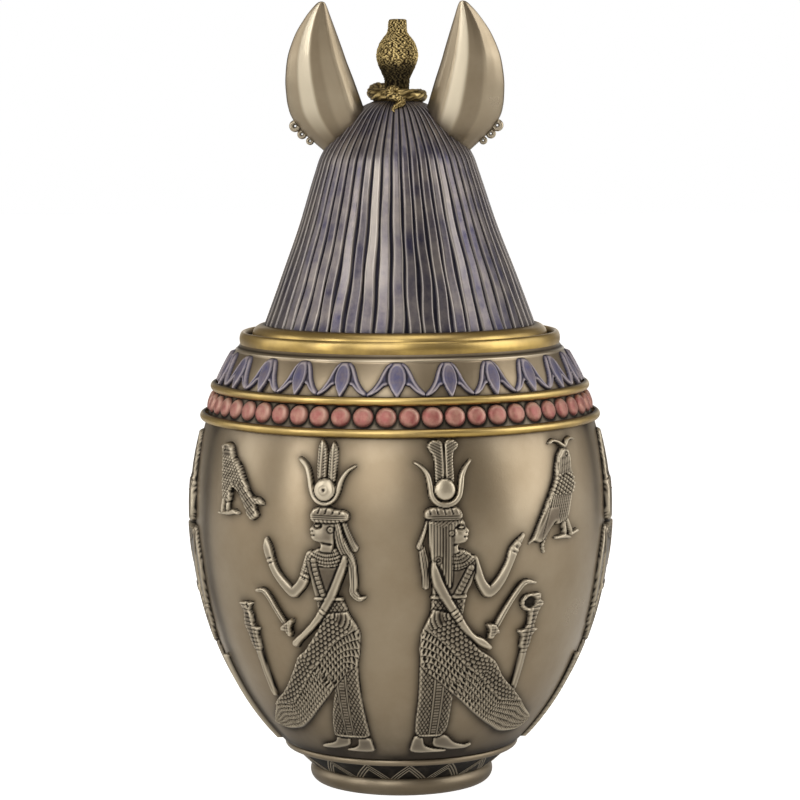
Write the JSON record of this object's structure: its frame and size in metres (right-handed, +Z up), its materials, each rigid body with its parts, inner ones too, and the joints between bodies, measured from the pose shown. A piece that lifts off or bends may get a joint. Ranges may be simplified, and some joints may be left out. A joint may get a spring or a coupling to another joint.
{
  "type": "canopic jar",
  "caption": "Egg-shaped bronze-finish canopic jar with winged goddesses in relief and a lift-off lid in the form of a jackal's head.",
  "frame": {"origin": "middle of the underside of the foot", "axes": "+Z up, +Y the way the jackal looks; the striped back of the headcloth faces -Y"},
  "size_m": [0.1589, 0.1558, 0.29],
  "materials": {
    "antique_bronze": "cold-cast resin with a satin antique-bronze skin, dark in the hollows and rubbed bright on the relief",
    "blue_pewter": "cold-cast resin with a purplish-blue pewter wash, rubbed to bare metal on the ridges"
  },
  "bodies": {
    "root": {"jar": "antique_bronze", "jackal_head_lid": "blue_pewter"}
  },
  "joints": []
}
